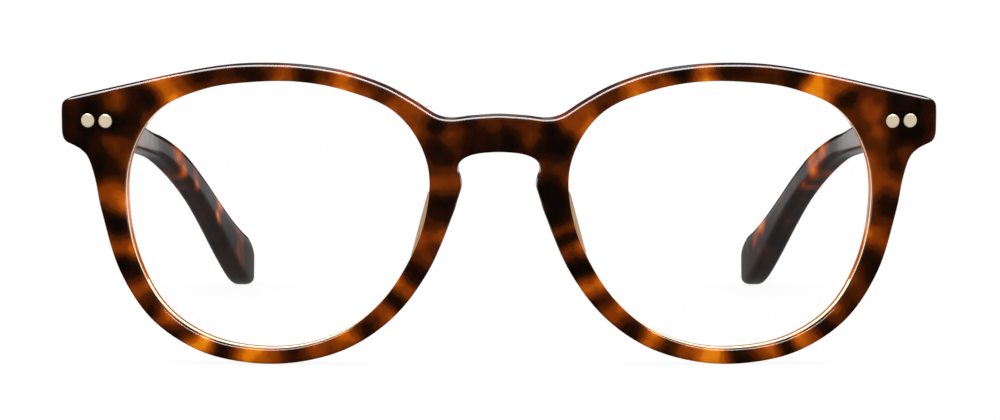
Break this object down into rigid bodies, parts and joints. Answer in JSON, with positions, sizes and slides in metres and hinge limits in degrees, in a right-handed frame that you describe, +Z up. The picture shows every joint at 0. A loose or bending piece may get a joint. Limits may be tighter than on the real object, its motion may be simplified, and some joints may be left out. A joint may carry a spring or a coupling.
{
  "type": "eyeglasses",
  "caption": "Full-rim tortoiseshell acetate glasses with round panto lenses, a keyhole bridge, riveted end pieces and folding paddle temples.",
  "frame": {"origin": "on the table, midway between the two sides and midway between the front and the temple tips, level with the bottoms of the rims and the temple tips", "axes": "+X towards the wearer's left, +Y backwards along the temples, +Z up"},
  "size_m": [0.1376, 0.1442, 0.0475],
  "materials": {
    "front_acetate": "polished tortoiseshell acetate",
    "temple_acetate": "polished dark tortoiseshell acetate",
    "clear_lens": "clear, coated",
    "pad_resin": "translucent, soft polish",
    "rivet_metal": "polished nickel silver",
    "hinge_metal": "tumbled nickel silver",
    "screw_metal": "turned steel",
    "core_metal": "drawn wire"
  },
  "bodies": {
    "front": {"front_frame": "front_acetate", "lens_left": "clear_lens", "nose_pad_left": "pad_resin", "front_rivet_inner_left": "rivet_metal", "front_rivet_outer_left": "rivet_metal", "front_hinge_left": "hinge_metal", "hinge_screw_left": "screw_metal", "lens_right": "clear_lens", "nose_pad_right": "pad_resin", "front_rivet_inner_right": "rivet_metal", "front_rivet_outer_right": "rivet_metal", "front_hinge_right": "hinge_metal", "hinge_screw_right": "screw_metal"},
    "left_temple": {"temple_left": "temple_acetate", "temple_hinge_left": "hinge_metal", "temple_core_left": "core_metal", "temple_rivet_front_left": "rivet_metal", "temple_rivet_rear_left": "rivet_metal"},
    "right_temple": {"temple_right": "temple_acetate", "temple_hinge_right": "hinge_metal", "temple_core_right": "core_metal", "temple_rivet_front_right": "rivet_metal", "temple_rivet_rear_right": "rivet_metal"}
  },
  "joints": [
    {"name": "left_temple_fold", "type": "hinge", "parent": "front", "child": "left_temple", "pos_m": [0.06486, -0.06077, 0.03868], "axis": [0, -0.0638, 0.998], "range_deg": [0, 84]},
    {"name": "right_temple_fold", "type": "hinge", "parent": "front", "child": "right_temple", "pos_m": [-0.06486, -0.06077, 0.03868], "axis": [0, 0.0638, -0.998], "range_deg": [0, 78]}
  ]
}
